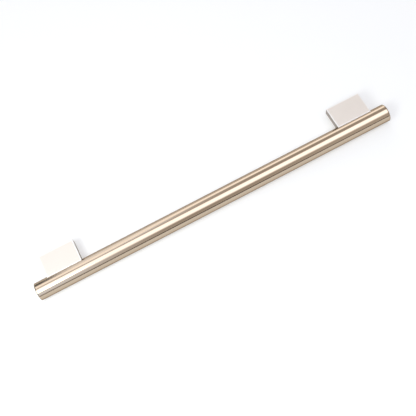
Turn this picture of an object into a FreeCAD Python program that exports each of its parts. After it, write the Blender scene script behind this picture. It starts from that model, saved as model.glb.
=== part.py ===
import FreeCAD, Part
import math
import os
import Sketcher

# Oven door handle: a round bar carried by two flat rectangular brackets.
# Frame, in millimetres: X runs along the bar, +Y points at the door, +Z is up.
# The origin lies on the door's plane, midway between the two fixing holes.

# Driving sizes: name, value, meaning
SIZES = (
    ("tube_diameter", 22, "outside diameter of the bar"),
    ("tube_wall", 1.5, "wall of the bar"),
    ("bar_overhang", 17.75, "bar beyond the outer side of each bracket"),
    ("end_rounding", 1.2, "rounding of the bar's outer end edges"),
    ("fixing_centres", 393, "distance between the two door fixing holes"),
    ("bar_distance", 37, "from the door's plane to the bar's axis"),
    ("bracket_length", 45.5, "bracket along the bar"),
    ("bracket_thickness", 10, "bracket from its lower to its upper face"),
    ("bracket_offset", 3.8, "bracket's middle plane above the bar's axis"),
    ("bracket_edge", 0.4, "rounding of the bracket's edges"),
    ("seat_land", 0.4, "height of the blunt nose where the bracket meets the bar"),
    ("seat_clearance", 0.05, "gap between the bracket's seat and the bar"),
    ("door_thread_core", 4.2, "core diameter of the M5 thread for the door screw"),
    ("door_thread_depth", 14, "depth of that thread"),
    ("screw_spacing", 28, "distance between the two bar screws of a bracket"),
    ("screw_diameter", 4, "shank of a bar screw"),
    ("screw_core", 3.24, "core of the thread of a bar screw"),
    ("screw_length", 25, "bar screw under its head"),
    ("screw_thread_length", 20, "threaded stretch of a bar screw, up from its tip"),
    ("screw_grip", 7, "length of a bar screw inside the clamp bar"),
    ("screw_head_diameter", 7, "head of a bar screw"),
    ("screw_head_height", 4, "height of that head"),
    ("screw_head_edge", 0.35, "chamfer of that head"),
    ("screw_socket", 3, "hexagon socket across its flats"),
    ("screw_socket_depth", 2, "depth of the hexagon socket"),
    ("screw_hole", 4.5, "clearance hole for a bar screw"),
    ("counterbore", 7.8, "diameter of the recess for a screw head"),
    ("washer_inner", 4.1, "hole of a spring washer"),
    ("washer_outer", 7.6, "outside of a spring washer"),
    ("washer_thickness", 0.9, "thickness of a spring washer"),
    ("washer_slit", 0.7, "width of the cut in a spring washer"),
    ("clamp_length", 42, "clamp bar along the tube"),
    ("clamp_flat", 1, "clamp bar's flat face, from the bar's axis"),
    ("clamp_clearance", 0.1, "gap between a clamp bar and the bore"),
    ("clamp_thread_core", 3.3, "core diameter of the M4 thread in a clamp bar"),
    ("clamp_edge", 0.4, "chamfer of a clamp bar's ends"),
    ("cap_recess", 0.3, "end cap's face behind the end of the bar"),
    ("cap_face", 2.5, "thickness of an end cap's face"),
    ("cap_depth", 12, "end cap along the bar"),
    ("cap_wall", 1.4, "wall of an end cap's spigot"),
    ("cap_clearance", 0.05, "gap between an end cap's face and the bore"),
    ("cap_spigot_gap", 0.5, "gap between an end cap's spigot and the bore"),
    ("cap_rib_gap", 0.02, "gap between an end cap's ribs and the bore"),
    ("cap_rib_width", 1.2, "width of a rib of an end cap"),
    ("cap_rib_count", 6, "ribs of an end cap"),
    ("cap_edge", 0.3, "chamfer of an end cap's face"),
)

# Places worked out from the driving sizes, as expressions on the sheet
TUBE_LENGTH = "(Sizes.fixing_centres + Sizes.bracket_length + 2 * Sizes.bar_overhang)"
BORE_RADIUS = "(Sizes.tube_diameter / 2 - Sizes.tube_wall)"
SEAT_RADIUS = "(Sizes.tube_diameter / 2 + Sizes.seat_clearance)"
BRACKET_RISE = "(Sizes.bracket_offset + Sizes.bracket_thickness / 2)"
BRACKET_DEPTH = (
    f"(Sizes.bar_distance - sqrt({SEAT_RADIUS}^2 - ({BRACKET_RISE} - Sizes.seat_land)^2))"
)
SCREW_TIP_DEPTH = (
    f"(Sizes.bar_distance - sqrt({BORE_RADIUS}^2 - Sizes.bracket_offset^2) + Sizes.screw_grip)"
)
SCREW_HEAD_DEPTH = f"({SCREW_TIP_DEPTH} - Sizes.screw_length)"
COUNTERBORE_DEPTH = f"({SCREW_HEAD_DEPTH} + Sizes.washer_thickness)"

SIDES = (("left", -1), ("right", 1))
PLACES = (("outer", 1), ("inner", -1))

document = FreeCAD.newDocument("oven_door_handle")
sheet = document.addObject("Spreadsheet::Sheet", "Sizes")


def fill_sheet():
    """One row for each driving size: its name, its value and its meaning."""
    for row, (name, value, meaning) in enumerate(SIZES, start=1):
        sheet.set(f"A{row}", name)
        sheet.set(f"B{row}", str(value))
        sheet.set(f"C{row}", meaning)
        sheet.setAlias(f"B{row}", name)
    document.recompute()


def size(name):
    """The value of a driving size, for a sketch's first guess and for sorting edges."""
    return float(sheet.get(name))


def new_body(label):
    """A body for one piece, named after it."""
    body = document.addObject("PartDesign::Body", label)
    body.Label = label
    return body


def origin_feature(body, role):
    """One of the body's own origin planes or axes."""
    for feature in body.Origin.OriginFeatures:
        if feature.Role == role:
            return feature
    raise ValueError(f"no origin feature {role}")


def new_sketch(body, name, role, offset=None):
    """A sketch on an origin plane of the body, moved along its normal by an expression."""
    sketch = body.newObject("Sketcher::SketchObject", f"{body.Label}_{name}")
    sketch.AttachmentSupport = [(origin_feature(body, role), "")]
    sketch.MapMode = "FlatFace"
    if offset:
        sketch.setExpression("AttachmentOffset.Base.z", offset)
    return sketch


def tie(sketch, constraint, name, expression):
    """Adds a constraint and binds its value to the sheet."""
    index = sketch.addConstraint(constraint)
    sketch.renameConstraint(index, name)
    sketch.setExpression(f"Constraints.{name}", expression)


def add_circle(sketch, name, diameter, across=0, up=None):
    """A circle, either at the sketch's origin or at signed distances from it.

    across is 0 or a pair (sign, expression), and up the same for the other direction."""
    start = FreeCAD.Vector(across[0] * 10 if across else 0, up[0] * 10 if up else 0, 0)
    circle = sketch.addGeometry(Part.Circle(start, FreeCAD.Vector(0, 0, 1), 1), False)
    tie(sketch, Sketcher.Constraint("Diameter", circle, 2), f"{name}_diameter", diameter)
    origin = (-1, 1)
    centre = (circle, 3)
    if not across and not up:
        sketch.addConstraint(Sketcher.Constraint("Coincident", *centre, *origin))
        return
    for kind, place, axis in (("DistanceX", across, -2), ("DistanceY", up, -1)):
        if not place:
            sketch.addConstraint(Sketcher.Constraint("PointOnObject", *centre, axis))
            continue
        sign, expression = place
        ends = (*origin, *centre) if sign > 0 else (*centre, *origin)
        tie(sketch, Sketcher.Constraint(kind, *ends, 10), f"{name}_{kind}", expression)


def add_outline(sketch, points):
    """Straight lines through the points, joined end to end and closed."""
    first = sketch.GeometryCount
    count = len(points)
    for i in range(count):
        start = FreeCAD.Vector(*points[i], 0)
        end = FreeCAD.Vector(*points[(i + 1) % count], 0)
        sketch.addGeometry(Part.LineSegment(start, end), False)
    for i in range(count):
        here = first + i
        following = first + (i + 1) % count
        sketch.addConstraint(Sketcher.Constraint("Coincident", here, 2, following, 1))
    return first


def pad(body, sketch, length, both_ways=False):
    """Material along the sketch's normal, or to both sides of its plane."""
    feature = body.newObject("PartDesign::Pad", f"{sketch.Label}_pad")
    feature.Profile = sketch
    feature.SideType = "Symmetric" if both_ways else "One side"
    feature.setExpression("Length", length)
    document.recompute()
    return feature


def pocket(body, sketch, length, both_ways=False, along_normal=False):
    """A cut against the sketch's normal, along it, or to both sides. It has to remove material."""
    before = body.Shape.Volume
    feature = body.newObject("PartDesign::Pocket", f"{sketch.Label}_cut")
    feature.Profile = sketch
    feature.SideType = "Symmetric" if both_ways else "One side"
    feature.Reversed = along_normal
    feature.setExpression("Length", length)
    document.recompute()
    assert body.Shape.Volume < before, f"{feature.Label} cuts nothing"
    return feature


def drill(body, sketch, diameter, depth, recess=None):
    """Drilled holes from the sketch's plane along its normal's far side.

    recess is the diameter and depth of a flat-bottomed mouth, if the holes have one."""
    before = body.Shape.Volume
    hole = body.newObject("PartDesign::Hole", f"{sketch.Label}_hole")
    hole.Profile = sketch
    document.recompute()
    hole.ThreadType = "None"
    hole.Reversed = True
    hole.DepthType = "Dimension"
    hole.DrillPoint = "Angled"
    hole.DrillPointAngle = 118
    hole.setExpression("Diameter", diameter)
    hole.setExpression("Depth", depth)
    if recess:
        hole.HoleCutType = "Counterbore"
        hole.HoleCutCustomValues = True
        hole.setExpression("HoleCutDiameter", recess[0])
        hole.setExpression("HoleCutDepth", recess[1])
    document.recompute()
    assert body.Shape.Volume < before, f"{hole.Label} cuts nothing"
    return hole


def revolve(body, sketch, axis):
    """A full turn of the sketch about one of its own axes."""
    feature = body.newObject("PartDesign::Revolution", f"{sketch.Label}_turned")
    feature.Profile = sketch
    feature.ReferenceAxis = (sketch, [axis])
    feature.Angle = 360
    document.recompute()
    return feature


def edges_where(feature, test):
    """The names of the feature's edges that pass the test."""
    return [f"Edge{i}" for i, edge in enumerate(feature.Shape.Edges, start=1) if test(edge)]


def soften(body, feature, kind, edges, property_name, radius):
    """A fillet or chamfer on some edges of a feature."""
    softened = body.newObject(f"PartDesign::{kind}", f"{feature.Label}_{kind.lower()}")
    softened.Base = (feature, edges)
    softened.setExpression(property_name, radius)
    document.recompute()
    return softened


def is_circle(edge, radius):
    """True for a full circle of this radius."""
    curve = edge.Curve
    return isinstance(curve, Part.Circle) and edge.isClosed() and abs(curve.Radius - radius) < 1e-4


def put(body, x="0", y="0", z="0"):
    """Places a piece, each coordinate by an expression."""
    for axis, expression in (("x", x), ("y", y), ("z", z)):
        body.setExpression(f"Placement.Base.{axis}", expression)


def turn_about_z(body, degrees):
    """Turns a piece about the vertical through its own origin."""
    turned = FreeCAD.Rotation(FreeCAD.Vector(0, 0, 1), degrees)
    body.Placement = FreeCAD.Placement(body.Placement.Base, turned)


def bracket_centre(sign):
    """The X of a bracket's middle, as an expression."""
    return f"{sign} * Sizes.fixing_centres / 2"


def screw_centre(sign, side):
    """The X of a bar screw: outer screws lie nearer the bar's end."""
    return f"{bracket_centre(sign)} + {sign * side} * Sizes.screw_spacing / 2"


def make_bar_tube():
    """Drawn tube along X about its own origin, with screw holes in its rear wall only."""
    body = new_body("bar_tube")
    section = new_sketch(body, "section", "YZ_Plane")
    add_circle(section, "outside", "Sizes.tube_diameter")
    add_circle(section, "bore", f"2 * {BORE_RADIUS}")
    tube = pad(body, section, TUBE_LENGTH, both_ways=True)
    rims = edges_where(tube, lambda edge: is_circle(edge, size("tube_diameter") / 2))
    soften(body, tube, "Fillet", rims, "Radius", "min(Sizes.end_rounding; 0.85 * Sizes.tube_wall)")
    holes = new_sketch(body, "holes", "XZ_Plane")
    for side_name, sign in SIDES:
        for place_name, side in PLACES:
            shift = f"Sizes.fixing_centres / 2 + {side} * Sizes.screw_spacing / 2"
            name = f"{side_name}_{place_name}"
            rise = (1, "Sizes.bracket_offset")
            add_circle(holes, name, "Sizes.screw_hole", (sign, shift), rise)
    pocket(body, holes, "Sizes.tube_diameter")
    put(body, y="-Sizes.bar_distance", z="-Sizes.bracket_offset")
    return body


def make_bracket(label, sign):
    """Flat rectangular block with a round seat for the bar and holes in its door face.

    Its own origin is the middle of the door face, and the block lies on the -Y side."""
    body = new_body(label)
    end_view = new_sketch(body, "end_view", "YZ_Plane")
    depth = size("bar_distance") - size("tube_diameter") / 4
    half = size("bracket_thickness") / 2
    first = add_outline(end_view, [(-depth, -half), (0, -half), (0, half), (-depth, half)])
    bottom, door, top, nose = range(first, first + 4)
    for line in (bottom, top):
        end_view.addConstraint(Sketcher.Constraint("Horizontal", line))
    for line in (door, nose):
        end_view.addConstraint(Sketcher.Constraint("Vertical", line))
    end_view.addConstraint(Sketcher.Constraint("Symmetric", door, 1, door, 2, -1, 1))
    thickness = Sketcher.Constraint("DistanceY", door, 1, door, 2, 2 * half)
    tie(end_view, thickness, "thickness", "Sizes.bracket_thickness")
    reach = Sketcher.Constraint("DistanceX", bottom, 1, bottom, 2, depth)
    tie(end_view, reach, "reach", BRACKET_DEPTH)
    block = pad(body, end_view, "Sizes.bracket_length", both_ways=True)
    every_edge = edges_where(block, lambda edge: True)
    soften(body, block, "Fillet", every_edge, "Radius", "Sizes.bracket_edge")

    seat = new_sketch(body, "seat", "YZ_Plane")
    away = (-1, "Sizes.bar_distance")
    down = (-1, "Sizes.bracket_offset")
    add_circle(seat, "bar", f"2 * {SEAT_RADIUS}", away, down)
    pocket(body, seat, "2 * Sizes.bracket_length", both_ways=True)

    fixing = new_sketch(body, "fixing", "XZ_Plane")
    add_circle(fixing, "door_thread", "Sizes.door_thread_core")
    drill(body, fixing, "Sizes.door_thread_core", "Sizes.door_thread_depth")

    screws = new_sketch(body, "screws", "XZ_Plane")
    for place_name, side_of_middle in PLACES:
        across = (sign * side_of_middle, "Sizes.screw_spacing / 2")
        add_circle(screws, place_name, "Sizes.screw_hole", across)
    recess = ("Sizes.counterbore", COUNTERBORE_DEPTH)
    drill(body, screws, "Sizes.screw_hole", "Sizes.bar_distance", recess)
    put(body, x=bracket_centre(sign))
    return body


def make_clamp_bar(label, sign):
    """Bar with a round back that fits the bore, a flat front and two tapped holes."""
    body = new_body(label)
    section = new_sketch(body, "section", "YZ_Plane")
    radius = size("tube_diameter") / 2 - size("tube_wall")
    flat = size("clamp_flat")
    reach = math.acos(flat / radius)
    circle = Part.Circle(FreeCAD.Vector(0, 0, 0), FreeCAD.Vector(0, 0, 1), radius)
    back = section.addGeometry(Part.ArcOfCircle(circle, -reach, reach), False)
    high = FreeCAD.Vector(flat, radius * math.sin(reach), 0)
    low = FreeCAD.Vector(flat, -radius * math.sin(reach), 0)
    front = section.addGeometry(Part.LineSegment(high, low), False)
    section.addConstraint(Sketcher.Constraint("Coincident", back, 3, -1, 1))
    section.addConstraint(Sketcher.Constraint("Coincident", back, 2, front, 1))
    section.addConstraint(Sketcher.Constraint("Coincident", front, 2, back, 1))
    section.addConstraint(Sketcher.Constraint("Vertical", front))
    back_radius = Sketcher.Constraint("Radius", back, radius)
    tie(section, back_radius, "back_radius", f"{BORE_RADIUS} - Sizes.clamp_clearance")
    flat_place = Sketcher.Constraint("DistanceX", -1, 1, front, 1, flat)
    tie(section, flat_place, "flat_place", "Sizes.clamp_flat")
    bar = pad(body, section, "Sizes.clamp_length", both_ways=True)
    end = size("clamp_length") / 2
    end_edges = edges_where(bar, lambda edge: abs(abs(edge.CenterOfMass.x) - end) < 1e-4)
    soften(body, bar, "Chamfer", end_edges, "Size", "Sizes.clamp_edge")

    threads = new_sketch(body, "threads", "XZ_Plane")
    rise = (1, "Sizes.bracket_offset")
    for place_name, side_of_middle in PLACES:
        across = (sign * side_of_middle, "Sizes.screw_spacing / 2")
        add_circle(threads, place_name, "Sizes.clamp_thread_core", across, rise)
    pocket(body, threads, "Sizes.tube_diameter")
    put(body, bracket_centre(sign), "-Sizes.bar_distance", "-Sizes.bracket_offset")
    return body


def make_bar_screw(label, sign, side):
    """Socket head screw along -Y from the underside of its head, its thread drawn at the core."""
    body = new_body(label)
    profile = new_sketch(body, "profile", "XY_Plane")
    head = size("screw_head_diameter") / 2
    height = size("screw_head_height")
    shank = size("screw_diameter") / 2
    core = size("screw_core") / 2
    length = size("screw_length")
    plain = size("screw_thread_length") - length
    points = [(0, height), (head, height), (head, 0), (shank, 0), (shank, plain),
              (core, plain), (core, -length), (0, -length)]
    first = add_outline(profile, points)
    top, rim, under, side_line, step, thread, tip, axis = range(first, first + 8)
    for line in (top, under, step, tip):
        profile.addConstraint(Sketcher.Constraint("Horizontal", line))
    for line in (rim, side_line, thread, axis):
        profile.addConstraint(Sketcher.Constraint("Vertical", line))
    profile.addConstraint(Sketcher.Constraint("PointOnObject", top, 1, -2))
    profile.addConstraint(Sketcher.Constraint("PointOnObject", under, 1, -1))
    radii = ((rim, "head", "Sizes.screw_head_diameter / 2", head),
             (side_line, "shank", "Sizes.screw_diameter / 2", shank),
             (thread, "core", "Sizes.screw_core / 2", core))
    for line, name, expression, value in radii:
        tie(profile, Sketcher.Constraint("DistanceX", -1, 1, line, 1, value), name, expression)
    rise = Sketcher.Constraint("DistanceY", -1, 1, top, 1, height)
    tie(profile, rise, "head_height", "Sizes.screw_head_height")
    reach = Sketcher.Constraint("DistanceY", thread, 2, -1, 1, length)
    tie(profile, reach, "reach", "Sizes.screw_length")
    thread_reach = Sketcher.Constraint("DistanceY", thread, 2, thread, 1, plain + length)
    tie(profile, thread_reach, "thread_reach", "Sizes.screw_thread_length")
    turned = revolve(body, profile, "V_Axis")
    top_rim = edges_where(
        turned, lambda edge: is_circle(edge, head) and edge.CenterOfMass.y > height / 2)
    soften(body, turned, "Chamfer", top_rim, "Size", "Sizes.screw_head_edge")

    socket = new_sketch(body, "socket", "XZ_Plane", "-Sizes.screw_head_height")
    flats = size("screw_socket")
    corners = [(flats / math.sqrt(3) * math.cos(math.radians(60 * i)),
                flats / math.sqrt(3) * math.sin(math.radians(60 * i))) for i in range(6)]
    first = add_outline(socket, corners)
    ring = Part.Circle(FreeCAD.Vector(0, 0, 0), FreeCAD.Vector(0, 0, 1), flats / math.sqrt(3))
    guide = socket.addGeometry(ring, True)
    socket.addConstraint(Sketcher.Constraint("Coincident", guide, 3, -1, 1))
    for line in range(first, first + 6):
        socket.addConstraint(Sketcher.Constraint("PointOnObject", line, 1, guide))
    for line in range(first + 1, first + 6):
        socket.addConstraint(Sketcher.Constraint("Equal", first, line))
    socket.addConstraint(Sketcher.Constraint("PointOnObject", first, 1, -1))
    across = Sketcher.Constraint("Diameter", guide, 2 * flats / math.sqrt(3))
    tie(socket, across, "corners", "2 * Sizes.screw_socket / sqrt(3)")
    pocket(body, socket, "Sizes.screw_socket_depth", along_normal=True)
    put(body, screw_centre(sign, side), f"-{SCREW_HEAD_DEPTH}")
    return body


def make_spring_washer(label, sign, side):
    """Split ring between a screw head and the floor of its recess, drawn tightened flat."""
    body = new_body(label)
    ring = new_sketch(body, "ring", "XZ_Plane")
    add_circle(ring, "outside", "Sizes.washer_outer")
    add_circle(ring, "hole", "Sizes.washer_inner")
    pad(body, ring, "Sizes.washer_thickness")
    slit = new_sketch(body, "slit", "XZ_Plane")
    half = size("washer_slit") / 2
    far = size("washer_outer")
    first = add_outline(slit, [(0, -half), (far, -half), (far, half), (0, half)])
    low, end, high, start = range(first, first + 4)
    for line in (low, high):
        slit.addConstraint(Sketcher.Constraint("Horizontal", line))
    for line in (end, start):
        slit.addConstraint(Sketcher.Constraint("Vertical", line))
    slit.addConstraint(Sketcher.Constraint("Symmetric", start, 1, start, 2, -1, 1))
    width = Sketcher.Constraint("DistanceY", end, 1, end, 2, 2 * half)
    tie(slit, width, "width", "Sizes.washer_slit")
    reach = Sketcher.Constraint("DistanceX", low, 1, low, 2, far)
    tie(slit, reach, "reach", "Sizes.washer_outer")
    pocket(body, slit, "4 * Sizes.washer_thickness", both_ways=True)
    put(body, screw_centre(sign, side), f"-{SCREW_HEAD_DEPTH}")
    return body


def make_end_cap(label, sign):
    """Turned plug for an end of the bar: a face, a thin spigot and grip ribs.

    Its own origin is the middle of its face, which points along +X before it is turned."""
    body = new_body(label)
    profile = new_sketch(body, "profile", "XY_Plane")
    bore = size("tube_diameter") / 2 - size("tube_wall")
    rim = bore - size("cap_clearance")
    spigot = bore - size("cap_spigot_gap")
    inner = spigot - size("cap_wall")
    face = size("cap_face")
    depth = size("cap_depth")
    points = [(0, 0), (0, rim), (-face, rim), (-face, spigot), (-depth, spigot),
              (-depth, inner), (-face, inner), (-face, 0)]
    first = add_outline(profile, points)
    front, edge, shoulder, outside, end, inside, floor, axis = range(first, first + 8)
    for line in (edge, outside, inside, axis):
        profile.addConstraint(Sketcher.Constraint("Horizontal", line))
    for line in (front, shoulder, end, floor):
        profile.addConstraint(Sketcher.Constraint("Vertical", line))
    profile.addConstraint(Sketcher.Constraint("Coincident", front, 1, -1, 1))
    radii = ((edge, "rim", f"{BORE_RADIUS} - Sizes.cap_clearance", rim),
             (outside, "spigot", f"{BORE_RADIUS} - Sizes.cap_spigot_gap", spigot),
             (inside, "inner", f"{BORE_RADIUS} - Sizes.cap_spigot_gap - Sizes.cap_wall", inner))
    for line, name, expression, value in radii:
        tie(profile, Sketcher.Constraint("DistanceY", -1, 1, line, 1, value), name, expression)
    depths = ((shoulder, "face", "Sizes.cap_face", face),
              (end, "depth", "Sizes.cap_depth", depth),
              (floor, "floor", "Sizes.cap_face", face))
    for line, name, expression, value in depths:
        tie(profile, Sketcher.Constraint("DistanceX", line, 1, -1, 1, value), name, expression)
    turned = revolve(body, profile, "H_Axis")
    face_rim = edges_where(
        turned, lambda item: is_circle(item, rim) and item.CenterOfMass.x > -face / 2)
    softened = soften(body, turned, "Chamfer", face_rim, "Size", "Sizes.cap_edge")
    add_cap_ribs(body, softened)
    put(body, f"{sign} * ({TUBE_LENGTH} / 2 - Sizes.cap_recess)",
        "-Sizes.bar_distance", "-Sizes.bracket_offset")
    if sign < 0:
        turn_about_z(body, 180)
    return body


def add_cap_ribs(body, base):
    """Ribs along the spigot that touch the bore, spaced evenly round it."""
    rib = new_sketch(body, "rib", "YZ_Plane", "-Sizes.cap_depth")
    half = size("cap_rib_width") / 2
    bore = size("tube_diameter") / 2 - size("tube_wall")
    low = bore - size("cap_spigot_gap") - size("cap_wall") / 2
    high = bore - size("cap_rib_gap")
    first = add_outline(rib, [(low, -half), (high, -half), (high, half), (low, half)])
    under, tip, over, root = range(first, first + 4)
    for line in (under, over):
        rib.addConstraint(Sketcher.Constraint("Horizontal", line))
    rib.addConstraint(Sketcher.Constraint("Vertical", tip))
    rib.addConstraint(Sketcher.Constraint("Symmetric", root, 1, root, 2, -1))
    width = Sketcher.Constraint("DistanceY", tip, 1, tip, 2, 2 * half)
    tie(rib, width, "width", "Sizes.cap_rib_width")
    root_place = Sketcher.Constraint("DistanceX", -1, 1, root, 1, low)
    middle_of_wall = f"{BORE_RADIUS} - Sizes.cap_spigot_gap - Sizes.cap_wall / 2"
    tie(rib, root_place, "root_place", middle_of_wall)
    tip_place = Sketcher.Constraint("DistanceX", -1, 1, tip, 1, high)
    corner = "(Sizes.cap_rib_width / 2)"
    reach = f"sqrt(({BORE_RADIUS} - Sizes.cap_rib_gap)^2 - {corner}^2)"
    tie(rib, tip_place, "tip_place", reach)
    bar = pad(body, rib, "Sizes.cap_depth - Sizes.cap_face / 2")
    ribs = body.newObject("PartDesign::PolarPattern", f"{body.Label}_ribs")
    ribs.Originals = [bar]
    ribs.Axis = (origin_feature(body, "X_Axis"), [""])
    ribs.Angle = 360
    ribs.setExpression("Occurrences", "Sizes.cap_rib_count")
    body.Tip = ribs
    document.recompute()
    assert body.Shape.Volume > base.Shape.Volume, "the ribs add nothing"
    return ribs


def build():
    """Every piece of the handle, each in its own node."""
    pieces = [make_bar_tube()]
    for side_name, sign in SIDES:
        pieces.append(make_bracket(f"bracket_{side_name}", sign))
        pieces.append(make_clamp_bar(f"clamp_bar_{side_name}", sign))
        pieces.append(make_end_cap(f"end_cap_{side_name}", sign))
        for place_name, side in PLACES:
            label = f"{side_name}_{place_name}"
            pieces.append(make_bar_screw(f"bar_screw_{label}", sign, side))
            pieces.append(make_spring_washer(f"spring_washer_{label}", sign, side))
    document.recompute()
    return pieces


def check(pieces):
    """Stops if any object of the document failed or a piece has no sound shape."""
    for item in document.Objects:
        failed = [state for state in item.State if state in ("Invalid", "Error")]
        assert not failed, f"{item.Label} is {failed}"
    for piece in pieces:
        assert not piece.Shape.isNull(), f"{piece.Label} has no shape"
        assert piece.Shape.isValid(), f"{piece.Label} has a faulty shape"
        assert len(piece.Shape.Solids) == 1, f"{piece.Label} is not one solid"


def write(pieces):
    """One STEP file for each piece."""
    os.makedirs("parts", exist_ok=True)
    for piece in pieces:
        piece.Shape.exportStep(f"parts/{piece.Label}.step")
        print(f"{piece.Label}: {piece.Shape.Volume:.1f} mm3")


fill_sheet()
handle = build()
check(handle)
write(handle)
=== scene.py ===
"""Bar handle for an oven door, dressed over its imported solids. The bar runs along X, the door
is on the +Y side and the face seen in the photograph looks up, towards +Z."""

import bmesh
import bpy
import numpy as np
from mathutils import Matrix, Vector


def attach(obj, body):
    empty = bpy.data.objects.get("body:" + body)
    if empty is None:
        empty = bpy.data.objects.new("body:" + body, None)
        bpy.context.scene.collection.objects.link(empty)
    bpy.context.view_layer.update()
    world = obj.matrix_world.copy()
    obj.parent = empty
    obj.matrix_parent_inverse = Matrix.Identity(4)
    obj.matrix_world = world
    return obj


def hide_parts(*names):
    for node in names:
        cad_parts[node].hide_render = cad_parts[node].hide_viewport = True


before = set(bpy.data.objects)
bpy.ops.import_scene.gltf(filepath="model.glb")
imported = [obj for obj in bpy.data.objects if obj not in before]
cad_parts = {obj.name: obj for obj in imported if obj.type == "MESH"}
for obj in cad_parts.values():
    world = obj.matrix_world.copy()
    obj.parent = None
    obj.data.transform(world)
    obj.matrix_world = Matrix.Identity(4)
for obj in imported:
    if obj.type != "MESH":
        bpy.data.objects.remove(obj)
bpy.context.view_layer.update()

# Camera. It looks down on the handle from above and a little from the bar's side, with the
# bar rising to the right across the picture.
camera_place = Vector((-0.07620, -0.36779, 0.76933))
camera_aim = Vector((-0.01161, -0.03667, -0.01480))
camera_roll = np.radians(-29.1685)
forward = (camera_aim - camera_place).normalized()
level_right = forward.cross(Vector((0, 1, 0))).normalized()
level_up = level_right.cross(forward)
camera_up = np.cos(camera_roll) * level_up - np.sin(camera_roll) * level_right
camera_right = forward.cross(camera_up)
lens = bpy.data.cameras.new("camera")
lens.sensor_width = 36
lens.lens = 60.577
lens.clip_start = 0.01
lens.clip_end = 20
camera = bpy.data.objects.new("camera", lens)
turn = Matrix((camera_right, camera_up, -forward)).transposed().to_4x4()
camera.matrix_world = Matrix.Translation(camera_place) @ turn
bpy.context.scene.collection.objects.link(camera)
bpy.context.scene.camera = camera
bpy.context.scene.view_settings.view_transform = "Standard"


# Floor. A wide sheet of matt white board, on which the bar rests. A share of plain white shows
# in it, a larger one in the metal's reflections, and the board keeps the soft shadows.
class Signal:
    """A value that varies in a finish. Arithmetic on it adds Math nodes, so 1 - mask works."""

    def __init__(self, finish, socket):
        self.finish = finish
        self.socket = socket

    def math(self, operation, first, second):
        return self.finish.add("Math", {"operation": operation}, {0: first, 1: second})

    def __add__(self, other):
        return self.math("ADD", self, other)

    def __sub__(self, other):
        return self.math("SUBTRACT", self, other)

    def __rsub__(self, other):
        return self.math("SUBTRACT", other, self)

    def __mul__(self, other):
        return self.math("MULTIPLY", self, other)

    def __pow__(self, other):
        return self.math("POWER", self, other)

    __radd__ = __add__
    __rmul__ = __mul__


class Finish:
    """The nodes of one finish, in a material or in the world around the object."""

    def __init__(self, owner):
        self.owner = owner
        owner.use_nodes = True
        self.tree = owner.node_tree
        self.tree.nodes.clear()

    def add(self, kind, settings=(), sockets=(), output=0):
        """Adds a node: its type, its settings, then a value or a link for each socket named."""
        node = self.tree.nodes.new("ShaderNode" + kind)
        for name, setting in dict(settings).items():
            setattr(node, name, setting)
        for name, value in dict(sockets).items():
            if isinstance(value, Signal):
                self.tree.links.new(value.socket, node.inputs[name])
            else:
                node.inputs[name].default_value = value
        return Signal(self, node.outputs[output]) if node.outputs else None

    def rise(self, value, start, end):
        """0 below start, 1 above end, and a smooth step between them."""
        limits = {"Value": value, "From Min": start, "From Max": end}
        return self.add("MapRange", {"interpolation_type": "SMOOTHSTEP"}, limits)

    def stretched_noise(self, place, per_metre, detail):
        """Noise with its own number of grains per metre along X, Y and Z, from 0 to 1."""
        grid = self.add("VectorMath", {"operation": "MULTIPLY"}, {0: place, 1: per_metre})
        return self.add("TexNoise", (), {"Vector": grid, "Scale": 1.0, "Detail": detail})

    def mix_colours(self, share, first, second):
        """First colour at share 0 and second colour at share 1."""
        return self.add("Mix", {"data_type": "RGBA"}, {0: share, 6: first, 7: second}, 2)


floor_height = -14.8
floor_half = 4000
plain_white_seen = 0.26
plain_white_mirrored = 0.72
board = Finish(bpy.data.materials.new("floor_board"))
board_place = board.add("TexCoord", output="Object")
board_tone = board.stretched_noise(board_place, (3, 3, 3), 2)
board_colour = board.mix_colours(board_tone, (0.945, 0.957, 0.95, 1), (0.955, 0.967, 0.96, 1))
board_face = board.add("BsdfDiffuse", (), {"Color": board_colour})
board_glow = board.add("Emission", (), {"Color": (1, 1, 1, 1), "Strength": 1.0})
board_ray = board.add("LightPath", output="Is Camera Ray")
board_glossy = Signal(board, board_ray.socket.node.outputs["Is Glossy Ray"])
board_through = Signal(board, board_ray.socket.node.outputs["Is Transmission Ray"])
board_share = plain_white_seen * (board_ray + board_through) + plain_white_mirrored * board_glossy
board_seen = board.add("MixShader", (), {0: board_share, 1: board_face, 2: board_glow})
board.add("OutputMaterial", (), {"Surface": board_seen})
floor_mesh = bpy.data.meshes.new("floor")
corner_signs = np.array([(-1, -1), (1, -1), (1, 1), (-1, 1)])
floor_corners = np.column_stack([corner_signs * floor_half, np.full(4, floor_height)]) / 1000
floor_mesh.from_pydata(floor_corners, [], [(0, 1, 2, 3)])
floor_mesh.materials.append(board.owner)
floor = bpy.data.objects.new("floor", floor_mesh)
bpy.context.scene.collection.objects.link(floor)

# Light. A white cloth tent stands round the handle. Its lit panels and dim gaps make the bands
# along the bar: tilt is -90 low in front, 0 overhead and 90 low behind the brackets. A round
# lamp at the front left casts the shadows.
overhead_power = 2.05
behind_power = 1.40
beside_power = 0.80
side_panel_power = 0.40
gap_power = 0.11
front_power = 0.49
front_glow_power = 0.12
end_power = 0.17
low_wall_power = 0.45
end_panel_power = 0.80
tent_power = 0.877
lamp_place = Vector((-0.42, -0.28, 0.60))
lamp_width = 0.34
lamp_power = 2.45
tent = Finish(bpy.data.worlds.new("tent"))
bpy.context.scene.world = tent.owner
tent_ray = tent.add("TexCoord", output="Generated")
tent_axes = tent.add("SeparateXYZ", (), {0: tent_ray})
ray_x = Signal(tent, tent_axes.socket.node.outputs["X"])
ray_y = Signal(tent, tent_axes.socket.node.outputs["Y"])
ray_z = Signal(tent, tent_axes.socket.node.outputs["Z"])
tilt = tent.add("Math", {"operation": "ARCTAN2"}, {0: ray_y, 1: ray_z}) * float(np.degrees(1))

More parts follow.
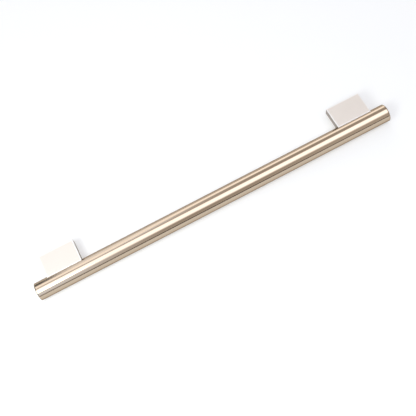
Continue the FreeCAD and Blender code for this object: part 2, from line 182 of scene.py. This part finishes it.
overhead = tent.rise(tilt, -46, -24) * (1 - tent.rise(tilt, 4, 17))
strip_tilt = tilt - 26 * tent.rise(ray_x, -0.12, 0.10)
behind = tent.rise(strip_tilt, 18, 32) * (1 - tent.rise(tilt, 74, 86))
behind_left = 1 - tent.rise(ray_x, -0.12, 0.06)
behind = behind * (1 - 0.5 * behind_left * tent.rise(tilt, 38, 60))

beside = (1 - tent.rise(ray_x, -0.10, 0.16)) * tent.rise(tilt, 14, 27)
beside = beside * (1 - 0.3 * tent.rise(tilt, 27, 40))
front = tent.rise(tilt, -98, -60) * (1 - tent.rise(tilt, 0, 14))
beside = beside + (1 - tent.rise(ray_x, -0.22, 0.04)) * front
beside = beside * (1 - overhead) * (1 - behind)

front_glow = front_glow_power * tent.rise(ray_x, 0.12, 0.30) * (1 - tent.rise(tilt, -40, -10))
front_wall = front_power * tent.rise(tilt, -84.5, -74) - 0.06 * tent.rise(tilt, -70, -58)
level = gap_power + front_wall + front_glow
middle = level + overhead_power * overhead + behind_power * behind + beside_power * beside
left_corner = (1 - tent.rise(ray_x, -0.17, -0.145)) * tent.rise(tilt, 46, 58)
middle = middle * (1 - 0.9 * left_corner)

side_panel = tent.rise(ray_x, -0.62, -0.50) * (1 - tent.rise(ray_x, -0.32, -0.24))
side_panel = side_panel * tent.rise(tilt, -10, 15) * (1 - tent.rise(tilt, 50, 75))
low_wall = 1 - tent.rise(ray_z, 0.10, 0.45)
end_panel = overhead * (1 - tent.rise(ray_x * ray_x, 0.45, 0.85))
end_panel = (end_panel_power - 0.4 * tent.rise(ray_x, -0.2, 0.2)) * end_panel
end_walls = end_power + low_wall_power * low_wall + end_panel
span = tent.rise(ray_x, -0.36, -0.24) * (1 - tent.rise(ray_x, 0.40, 0.52))
brightness = middle * span + end_walls * (1 - span) + side_panel_power * side_panel
brightness = tent_power * brightness

bright_part = tent.rise(brightness, 0.27, 1.27)
tent_tint = tent.mix_colours(bright_part, (1.09, 0.99, 0.93, 1), (1.03, 1.0, 1.01, 1))
tent_tint = tent.mix_colours(overhead, tent_tint, (0.995, 1.0, 1.09, 1))
tent_tint = tent.mix_colours(beside, tent_tint, (0.97, 1.06, 1.24, 1))
tent_tint = tent.mix_colours(side_panel, tent_tint, (0.905, 1.0, 0.985, 1))
tent_light = tent.add("Background", (), {"Color": tent_tint, "Strength": brightness})
tent.add("OutputWorld", (), {"Surface": tent_light})

lamp = bpy.data.lights.new("front_left_lamp", "AREA")
lamp.shape = "DISK"
lamp.size = lamp_width
lamp.energy = lamp_power
lamp.color = (0.97, 1.0, 0.95)
lamp_stand = bpy.data.objects.new("front_left_lamp", lamp)
bpy.context.scene.collection.objects.link(lamp_stand)
lamp_stand.location = lamp_place
lamp_stand.rotation_euler = (-lamp_place).to_track_quat("-Z", "Y").to_euler()

# Bar. A 22 mm stainless steel tube with a 1.5 mm wall, ground round its girth and polished.
# Its rear wall has four holes for the screws that hold the brackets.
bar_radius = 11.0
bore_radius = 9.5
bar_half = 237.0
end_rounding = 1.2
bore_edge = 0.15
bar_axis = (-37.0, -3.8)
screw_places = (-210.5, -182.5, 182.5, 210.5)
screw_hole_radius = 2.25
screw_rise = 3.8
block_cells = 10
block_half = 4.0
seam_angle = 1.0
angle_step = 4.5
end_steps = np.array([0, 0.3, 4])
hair = 1e-6
merge_distance = 2e-6


def sheet(points):
    """A grid of points, rows by columns, as a list of points and the quads between them."""
    rows, columns = points.shape[:2]
    index = np.arange(rows * columns).reshape(rows, columns)
    corners = (index[:-1, :-1], index[1:, :-1], index[1:, 1:], index[:-1, 1:])
    return points.reshape(-1, 3), np.stack(corners, -1).reshape(-1, 4)


def block_walk(cells):
    """Row and column steps once round a square block, and their angle from its middle."""
    side = np.arange(cells)
    near = np.zeros(cells, int)
    far = np.full(cells, cells)
    rows = np.concatenate([side, far, cells - side, near])
    columns = np.concatenate([near, side, far, cells - side])
    return rows, columns, np.arctan2(columns - cells / 2, rows - cells / 2)


def pierced(skin, openings, lift, rings=4):
    """Sheets of a skin with openings. Each opening is the first row and column of a block of
    cells and its rim. Rings fill the block: (1 - t) edge of the block + t rim, then lift."""
    points, quads = sheet(skin)
    columns = skin.shape[1]
    walk_rows, walk_columns, _ = block_walk(block_cells)
    share = np.linspace(0, 1, rings + 1)[:, None, None]
    found = []
    for row, column, rim in openings:
        cell_row, cell_column = quads[:, 0] // columns, quads[:, 0] % columns
        in_rows = (cell_row >= row) & (cell_row < row + block_cells)
        in_columns = (cell_column >= column) & (cell_column < column + block_cells)
        quads = quads[~(in_rows & in_columns)]
        edge = skin[row + walk_rows, column + walk_columns]
        ring = lift((1 - share) * edge + share * rim)
        ring[0] = edge
        found.append(sheet(np.concatenate([ring, ring[:, :1]], 1)))
    return [(points, quads)] + found


def make_piece(name, sheets, finish, nodes, sharp_angle=38):
    """Joins sheets in millimetres into one closed piece, with the seams merged, the faces
    outward and the edges sharp above an angle in degrees, and puts it on the frame."""
    starts = np.cumsum([0] + [len(points) for points, _ in sheets])
    points = np.concatenate([points for points, _ in sheets])
    quads = np.concatenate([quads + start for (_, quads), start in zip(sheets, starts)])
    used, quads = np.unique(quads, return_inverse=True)
    mesh = bpy.data.meshes.new(name)
    mesh.from_pydata(points[used] / 1000, [], quads.reshape(-1, 4))
    joined = bmesh.new()
    joined.from_mesh(mesh)
    bmesh.ops.remove_doubles(joined, verts=joined.verts, dist=merge_distance)
    bmesh.ops.recalc_face_normals(joined, faces=joined.faces)
    joined.to_mesh(mesh)
    joined.free()
    mesh.shade_smooth()
    mesh.set_sharp_from_angle(angle=np.radians(sharp_angle))
    mesh.materials.append(finish.owner)
    piece = bpy.data.objects.new(name, mesh)
    bpy.context.scene.collection.objects.link(piece)
    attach(piece, "root")
    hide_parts(*nodes)
    return piece


def round_bar(along, radius, angle):
    """Points at a distance along the bar, a distance from its axis and an angle round it:
    y = axis + radius cos(angle), z = axis + radius sin(angle)."""
    y = bar_axis[0] + radius * np.cos(angle)
    z = bar_axis[1] + radius * np.sin(angle)
    return np.stack(np.broadcast_arrays(along, y, z), -1)


def on_bar(radius):
    """Moves points in or out until they are this far from the bar's axis."""

    def lift(points):
        across = points[..., 1:] - bar_axis
        across = across * radius / np.linalg.norm(across, axis=-1, keepdims=True)
        return np.concatenate([points[..., :1], across + bar_axis], -1)

    return lift


bar_angles = np.radians(seam_angle + angle_step * np.arange(81))
hole_lines = [place + np.linspace(-block_half, block_half, block_cells + 1) for place in screw_places]
plain_half = screw_places[2] - block_half
plain_lines = np.linspace(-plain_half, plain_half, 18)[1:-1]
edge_lines = bar_half - end_rounding - end_steps
bar_lines = np.sort(np.concatenate([*hole_lines, plain_lines, edge_lines, -edge_lines]))
hole_walk = block_walk(block_cells)[2]
hole_rise = screw_rise + screw_hole_radius * np.sin(hole_walk)


def bar_rim(place, radius):
    """Edge of a screw hole in a round wall: angle = arcsin(height above the axis / radius)."""
    along = place + screw_hole_radius * np.cos(hole_walk)
    return round_bar(along, radius, np.arcsin(hole_rise / radius))


bar_sheets = []
for wall_radius in (bar_radius, bore_radius):
    wall = round_bar(bar_lines[:, None], wall_radius, bar_angles)
    rows = np.searchsorted(bar_lines, [place - block_half - hair for place in screw_places])
    rims = [(row, 0, bar_rim(place, wall_radius)) for row, place in zip(rows, screw_places)]
    bar_sheets += pierced(wall, rims, on_bar(wall_radius))
for place in screw_places:
    hole_wall = np.stack([bar_rim(place, bar_radius), bar_rim(place, bore_radius)])
    bar_sheets.append(sheet(np.concatenate([hole_wall, hole_wall[:, :1]], 1)))
quarter = np.radians(np.linspace(0, 90, 7))
outer_edge = bar_half - end_rounding * (1 - np.sin(quarter))
outer_reach = bar_radius - end_rounding * (1 - np.cos(quarter))
inner_edge = bar_half - bore_edge * (1 - np.cos(quarter))
inner_reach = bore_radius + bore_edge * (1 - np.sin(quarter))
end_along = np.concatenate([outer_edge, inner_edge, [bar_lines[-1]]])
end_reach = np.concatenate([outer_reach, inner_reach, [bore_radius]])
for side in (-1, 1):
    bar_end = round_bar(side * end_along[:, None], end_reach[:, None], bar_angles)
    bar_sheets.append(sheet(bar_end))

ground_steel = Finish(bpy.data.materials.new("ground_stainless_steel"))
steel_place = ground_steel.add("TexCoord", output="Object")
fine_grain = ground_steel.stretched_noise(steel_place, (2400, 70, 70), 3)
deep_grain = ground_steel.stretched_noise(steel_place, (700, 25, 25), 2) ** 3
polish = ground_steel.stretched_noise(steel_place, (14, 45, 45), 3)
steel_colour = ground_steel.mix_colours(polish, (0.54, 0.442, 0.332, 1), (0.578, 0.478, 0.37, 1))
steel_roughness = 0.08 + 0.03 * fine_grain + 0.04 * polish
steel_height = fine_grain + 0.8 * deep_grain


def metal(finish, colour, roughness, height, strength, depth, edge_tint=(1, 1, 1, 1)):
    """Makes a finish a metal, with a height pattern of a strength and a depth in metres, and
    a tint that it takes where it is seen edge on."""
    grain = finish.add("Bump", (), {"Strength": strength, "Distance": depth, "Height": height})
    sockets = {
        "Base Color": colour, "Metallic": 1.0, "Roughness": roughness,
        "Specular Tint": edge_tint, "Normal": grain,
    }
    face = finish.add("BsdfPrincipled", (), sockets)
    finish.add("OutputMaterial", (), {"Surface": face})


metal(
    ground_steel, steel_colour, steel_roughness, steel_height,
    strength=0.35, depth=0.00002, edge_tint=(0.30, 0.235, 0.18, 1),
)
make_piece("bar_ground_tube", bar_sheets, ground_steel, ["bar_tube"])

# Brackets. Two flat blocks of cast metal with a satin nickel finish. Each has a round seat for
# the bar, two deep recesses for the screws from behind and a tapped hole for the door screw.
bracket_middle = 196.5
bracket_half = 22.75
bracket_thick = 5.0
bracket_edge = 0.4
seat_radius = 11.05
nose = -29.82
hole_spacing = 14.0
recess_radius = 3.9
recess_depth = 11.19
thread_radius = 2.1
thread_depth = 14.0
thread_pitch = 0.8
thread_height = 0.28
thread_start = -0.3
thread_end = -13.0
drill_half_angle = 59.0
hole_block = 4.3
edge_highlight_reach = 1.8
end_face_band = 0.01


def seat_line(height):
    """How far back the round seat lies at a height: y = axis + sqrt(radius² - (z - axis)²)."""
    return bar_axis[0] + np.sqrt(seat_radius**2 - (height - bar_axis[1]) ** 2)


def on_seat(points):
    """Moves points along Y until they lie on the round seat."""
    return np.stack([points[..., 0], seat_line(points[..., 2]), points[..., 2]], -1)


flat_half = bracket_thick - bracket_edge
block_lines = np.linspace(-hole_block, hole_block, block_cells + 1)
height_lines = np.concatenate([[-flat_half], block_lines, [flat_half]])
depth_shares = np.array([0, 0.005, 0.048, 0.2, 0.4, 0.6, 0.8, 0.952, 0.995, 1])
arc = np.radians(np.linspace(0, 90, 6))


def stretch(depth, height, out_y, out_z):
    """One stretch of the bracket's outline: core points and the way in which they go out."""
    return np.stack(np.broadcast_arrays(depth, height, out_y, out_z), -1)


top_line = -bracket_edge + depth_shares * (nose + 2 * bracket_edge)
foot = seat_line(-flat_half)
low_line = -bracket_edge + depth_shares * (foot + bracket_edge)
outline = np.concatenate(
    [
        stretch(-bracket_edge, height_lines, 1, 0),
        stretch(-bracket_edge, flat_half, np.cos(arc), np.sin(arc))[1:],
        stretch(top_line, flat_half, 0, 1)[1:],
        stretch(nose + bracket_edge, flat_half, -np.sin(arc), np.cos(arc))[1:],
        stretch(seat_line(height_lines[::-1]), height_lines[::-1], 0, 0)[1:-1],
        stretch(low_line[::-1], -flat_half, 0, -1),
        stretch(-bracket_edge, -flat_half, np.sin(arc), -np.cos(arc))[1:],
    ]
)
seat_column = len(outline) - len(arc) + 1 - len(depth_shares) - block_cells - 1
flat_length = bracket_half - bracket_edge
hole_centres = (-hole_spacing, 0.0, hole_spacing)
border_lines = flat_length - np.array([0, 0.15, 1.4])
middle_lines = [centre + block_lines for centre in hole_centres]
length_lines = np.sort(np.concatenate([*middle_lines, border_lines, -border_lines]))
ends = bracket_half - bracket_edge * (1 - np.cos(arc))
end_sizes = bracket_edge * np.sin(arc)
section_places = np.concatenate([-ends[:-1], length_lines, ends[:-1][::-1]])
section_sizes = np.concatenate(
    [end_sizes[:-1], np.full(len(length_lines), bracket_edge), end_sizes[:-1][::-1]]
)


def turned_wall(centre, radii, depths, angles):
    """A wall turned about a line along Y: x = centre + radius cos(angle), z = radius sin(angle),
    with one radius and one depth for each ring, each of them a number or one value per angle."""
    rings = []
    for radius, depth in zip(radii, depths):
        ring = (centre + radius * np.cos(angles), depth, radius * np.sin(angles))
        rings.append(np.stack(np.broadcast_arrays(*ring), -1))
    return sheet(np.stack(rings))


def screw_thread(depth, angle, core, height, pitch, start, end):
    """Radius of a thread: core + height times a wave that climbs one pitch a turn, and that
    fades in and out over one pitch at its start and end."""
    wave = np.abs(2 * ((depth / pitch + angle / (2 * np.pi)) % 1) - 1)
    fade = np.clip((start - depth) / pitch, 0, 1) * np.clip((depth - end) / pitch, 0, 1)
    return core + height * wave * fade


satin_nickel = Finish(bpy.data.materials.new("satin_nickel_block"))
nickel_place = satin_nickel.add("TexCoord", output="Object")
blast = satin_nickel.stretched_noise(nickel_place, (1900, 1900, 1900), 3)
cast_swirl = satin_nickel.stretched_noise(nickel_place, (60, 60, 60), 4)
# Lighter along the edges: a painted highlight in the colour, standing in for the light that the small
# roundings catch. The edges are also rougher.
nickel_edge_highlight = satin_nickel.add("Attribute", {"attribute_name": "edge_highlight"}, output="Fac")
nickel_tone = satin_nickel.mix_colours(
    cast_swirl, (0.862, 0.812, 0.745, 1), (0.892, 0.84, 0.775, 1)
)
nickel_highlighted = satin_nickel.mix_colours(nickel_edge_highlight, nickel_tone, (0.997, 0.99, 0.972, 1))
# The end faces are painted darker: painted shade, standing in for the dark reflection that they show.
nickel_end_shade = satin_nickel.add("Attribute", {"attribute_name": "end_shade"}, output="Fac")
nickel_colour = satin_nickel.mix_colours(nickel_end_shade, nickel_highlighted, (0.578, 0.539, 0.504, 1))
nickel_roughness = 0.48 + 0.06 * blast + 0.05 * cast_swirl + 0.12 * nickel_edge_highlight
metal(
    satin_nickel, nickel_colour, nickel_roughness, blast,
    strength=0.3, depth=0.00002, edge_tint=(0.234, 0.21, 0.181, 1),
)

hole_angles = np.append(hole_walk, hole_walk[0])
thread_turns = np.arange(0, -thread_depth - hair, -thread_pitch / 6)
tapped_radii = [
    screw_thread(
        y, hole_angles, thread_radius, thread_height, thread_pitch, thread_start, thread_end
    )
    for y in thread_turns
]
tapped_radii += [thread_radius, 0]
drill_tip = thread_radius / np.tan(np.radians(drill_half_angle))
tapped_depths = [*thread_turns, -thread_depth, -thread_depth - drill_tip]
recess_radii = [recess_radius, recess_radius, screw_hole_radius, screw_hole_radius]
recess_end = seat_line(screw_hole_radius * np.sin(hole_angles))
recess_depths = [0, -recess_depth, -recess_depth, recess_end]
core_y, core_z, out_y, out_z = outline.T
size = section_sizes[:, None]
is_top = height_lines > flat_half - hair
reach = np.where(is_top, nose + bracket_edge, seat_line(height_lines))
cheek_depths = -bracket_edge + depth_shares * (reach[:, None] + bracket_edge)


def settle(points):
    """Leaves points on the door face, and puts the others on the round seat."""
    return np.where(points[..., 1:2] > -1, points, on_seat(points))


for side, side_name in ((-1, "left"), (1, "right")):
    middle = side * bracket_middle
    skin = np.stack(
        np.broadcast_arrays(
            middle + section_places[:, None], core_y + size * out_y, core_z + size * out_z
        ),
        -1,
    )
    openings = []
    sheets = []
    for centre in hole_centres:
        row = np.searchsorted(section_places, centre - hole_block - hair)
        is_fixing = centre == 0.0
        radius = thread_radius if is_fixing else recess_radius
        rim_x = middle + centre + radius * np.cos(hole_walk)
        rim = np.stack([rim_x, np.zeros_like(rim_x), radius * np.sin(hole_walk)], -1)
        openings.append((row, 1, rim))
        if is_fixing:
            sheets.append(turned_wall(middle, tapped_radii, tapped_depths, hole_angles))
            continue
        seat_x = middle + centre + screw_hole_radius * np.cos(hole_walk)
        seat_z = -screw_hole_radius * np.sin(hole_walk)
        seat_rim = on_seat(np.stack([seat_x, np.zeros_like(seat_x), seat_z], -1))
        openings.append((row, seat_column, seat_rim))
        sheets.append(turned_wall(middle + centre, recess_radii, recess_depths, hole_angles))
    sheets += pierced(skin, openings, settle)
    for end in (0, -1):
        cheek = (middle + section_places[end], cheek_depths, height_lines[:, None])
        sheets.append(sheet(np.stack(np.broadcast_arrays(*cheek), -1)))
    bracket = make_piece(
        f"bracket_{side_name}_cast", sheets, satin_nickel,
        [f"bracket_{side_name}"],
    )
    corners = np.empty(len(bracket.data.vertices) * 3, np.float32)
    bracket.data.vertices.foreach_get("co", corners)
    x, y, z = corners.reshape(-1, 3).T * 1000
    to_faces = np.sort(
        [bracket_half - np.abs(x - middle), bracket_thick - np.abs(z), np.minimum(-y, y - nose)], 0
    )
    # The painted edge highlight is full within about 0.8 mm of an edge and fades out by 1.8 mm.
    edge_highlight_share = np.clip(edge_highlight_reach - to_faces[1], 0, 1)
    # The end faces, between the top and bottom faces, take the painted shade.
    on_end = bracket_half - np.abs(x - middle) < end_face_band
    end_shade_mask = on_end & (np.abs(z) < bracket_thick)
    for name, values in (("edge_highlight", edge_highlight_share), ("end_shade", end_shade_mask)):
        attribute = bracket.data.attributes.new(name, "FLOAT", "POINT")
        attribute.data.foreach_set("value", values.astype(np.float32))

# Bar screws. Four M4 socket screws in bright zinc, put in from the door side through the
# brackets and the bar's wall into the clamp bars.
head_radius = 3.5
head_top = -6.29
head_seat = -10.29
head_edge = 0.35
socket_flats = 3.0
head_relief = 0.15
socket_depth = 2.0
socket_cone = 0.6
knurl_depth = 0.09
knurl_edge = 0.05
knurl_start = 0.5
knurl_end = 0.3
shank_radius = 2.0
shank_end = -15.29
shank_lead = 0.3
screw_tip = -35.29
tip_lead = 0.5
tip_chamfer = 0.3
screw_core = 1.62
screw_pitch = 0.7
screw_angles = np.radians(np.arange(0, 361, 10))
knurl_cuts = np.where(np.arange(37) % 2 == 0, 0.0, knurl_depth)
hexagon = socket_flats / 2 / np.cos((screw_angles + np.pi / 6) % (np.pi / 3) - np.pi / 6)
thread_rows = np.arange(shank_end, screw_tip + tip_lead - 0.05, -screw_pitch / 6)
thread_radii = [
    screw_thread(
        y, screw_angles, screw_core, shank_radius - screw_core, screw_pitch,
        shank_end + shank_lead, screw_tip + tip_lead,
    )
    for y in thread_rows
]
knurl_radii = [head_radius - knurl_cuts, head_radius - knurl_cuts]
screw_radii = [0, hexagon, hexagon, head_radius - head_edge, head_radius - knurl_edge]
screw_radii += [*knurl_radii, head_radius - head_relief]
screw_radii += [shank_radius, shank_radius, *thread_radii, screw_core - tip_chamfer, 0]
socket_floor = head_top - socket_depth
screw_depths = [socket_floor - socket_cone, socket_floor, head_top, head_top]
screw_depths += [head_top - head_edge, head_top - knurl_start, head_seat + knurl_end, head_seat]
screw_depths += [head_seat, shank_end, *thread_rows, screw_tip, screw_tip]

bright_zinc = Finish(bpy.data.materials.new("bright_zinc_screw"))
zinc_place = bright_zinc.add("TexCoord", output="Object")
zinc_bloom = bright_zinc.stretched_noise(zinc_place, (500, 500, 500), 3)
zinc_grain = bright_zinc.stretched_noise(zinc_place, (2500, 2500, 2500), 2)
zinc_colour = bright_zinc.mix_colours(zinc_bloom, (0.60, 0.61, 0.60, 1), (0.72, 0.72, 0.70, 1))
zinc_roughness = 0.22 + 0.16 * zinc_bloom
metal(bright_zinc, zinc_colour, zinc_roughness, zinc_grain, strength=0.25, depth=0.00001)

for side, side_name in ((-1, "left"), (1, "right")):
    for outward, place_name in ((-1, "inner"), (1, "outer")):
        centre = side * (bracket_middle + outward * hole_spacing)
        name = f"{side_name}_{place_name}"
        screw = turned_wall(centre, screw_radii, screw_depths, screw_angles)
        make_piece(f"screw_{name}_threaded", [screw], bright_zinc,
                   [f"bar_screw_{name}"], sharp_angle=30)

# Spring washers. Four split rings of blackened spring steel, one under each screw head. They
# keep their solids from the frame.
spring_steel = Finish(bpy.data.materials.new("spring_steel_washer"))
spring_place = spring_steel.add("TexCoord", output="Object")
spring_scale = spring_steel.stretched_noise(spring_place, (900, 900, 900), 4)
spring_colour = spring_steel.mix_colours(spring_scale, (0.10, 0.10, 0.11, 1), (0.24, 0.23, 0.22, 1))
spring_roughness = 0.36 + 0.2 * spring_scale
metal(spring_steel, spring_colour, spring_roughness, spring_scale, strength=0.4, depth=0.00002)
for side_name in ("left", "right"):
    for place_name in ("inner", "outer"):
        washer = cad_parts[f"spring_washer_{side_name}_{place_name}"]
        washer.data.materials.clear()
        washer.data.materials.append(spring_steel.owner)

# Clamp bars. Two milled steel bars inside the tube, zinc plated, each with two tapped holes
# for the bar screws. They keep their solids from the frame.
milled_steel = Finish(bpy.data.materials.new("milled_zinc_clamp"))
milled_place = milled_steel.add("TexCoord", output="Object")
mill_marks = milled_steel.stretched_noise(milled_place, (1200, 60, 60), 2)
mill_bloom = milled_steel.stretched_noise(milled_place, (90, 90, 90), 3)
milled_colour = milled_steel.mix_colours(mill_bloom, (0.50, 0.50, 0.49, 1), (0.62, 0.61, 0.57, 1))
milled_roughness = 0.30 + 0.15 * mill_bloom
metal(milled_steel, milled_colour, milled_roughness, mill_marks, strength=0.4, depth=0.00003)
for side_name in ("left", "right"):
    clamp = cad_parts[f"clamp_bar_{side_name}"]
    clamp.data.materials.clear()
    clamp.data.materials.append(milled_steel.owner)

# End caps. Two pressed-in plugs of the same steel, with a turned face a little behind the end
# of the bar and six ribs that grip its bore.
cap_front = 236.7
cap_back = 234.2
cap_end = 224.7
cap_radius = 9.45
cap_edge = 0.3
spigot_radius = 9.0
spigot_bore = 7.6
rib_reach = 9.48
rib_start = 233.8
rib_full = 233.4
rib_end = 225.3
spigot_chamfer = 0.3
lathe_waves = 18000.0
bar_axis_metres = (0, -0.037, -0.0038)
cap_angles = np.radians(np.arange(0, 361, 3.75))
ribs = np.where(np.isin(np.arange(97) % 16, (0, 1, 15)), rib_reach, spigot_radius)
bend = np.radians(np.linspace(0, 90, 5))
cap_radii = [0, 2, 4, 6, 8, *(cap_radius - cap_edge + cap_edge * np.sin(bend)), cap_radius]
cap_places = [cap_front] * 5 + [*(cap_front - cap_edge + cap_edge * np.cos(bend)), cap_back]
cap_radii += [spigot_radius, spigot_radius, ribs, ribs]
cap_places += [cap_back, rib_start, rib_full, rib_end]
cap_radii += [spigot_radius - spigot_chamfer, spigot_bore]
cap_places += [cap_end, cap_end]
cap_radii += [spigot_bore, 4, 0]
cap_places += [cap_back, cap_back, cap_back]

turned_steel = Finish(bpy.data.materials.new("turned_steel_cap"))
turned_place = turned_steel.add("TexCoord", output="Object")
cap_centre = turned_steel.add(
    "VectorMath", {"operation": "SUBTRACT"}, {0: turned_place, 1: bar_axis_metres}
)
cap_flat = turned_steel.add("VectorMath", {"operation": "MULTIPLY"}, {0: cap_centre, 1: (0, 1, 1)})
cap_distance = turned_steel.add("VectorMath", {"operation": "LENGTH"}, {0: cap_flat}, "Value")
lathe_rings = turned_steel.add("Math", {"operation": "SINE"}, {0: cap_distance * lathe_waves})
cap_cloud = turned_steel.stretched_noise(turned_place, (120, 120, 120), 3)
cap_colour = turned_steel.mix_colours(cap_cloud, (0.618, 0.588, 0.553, 1), (0.688, 0.66, 0.627, 1))
cap_roughness = 0.22 + 0.10 * cap_cloud
cap_height = lathe_rings + cap_cloud
metal(turned_steel, cap_colour, cap_roughness, cap_height, strength=0.3, depth=0.00002)
for side, side_name in ((-1, "left"), (1, "right")):
    rings = []
    for radius, place in zip(cap_radii, cap_places):
        rings.append(round_bar(side * place, radius, cap_angles))
    make_piece(f"cap_{side_name}_turned", [sheet(np.stack(rings))], turned_steel,
               [f"end_cap_{side_name}"])
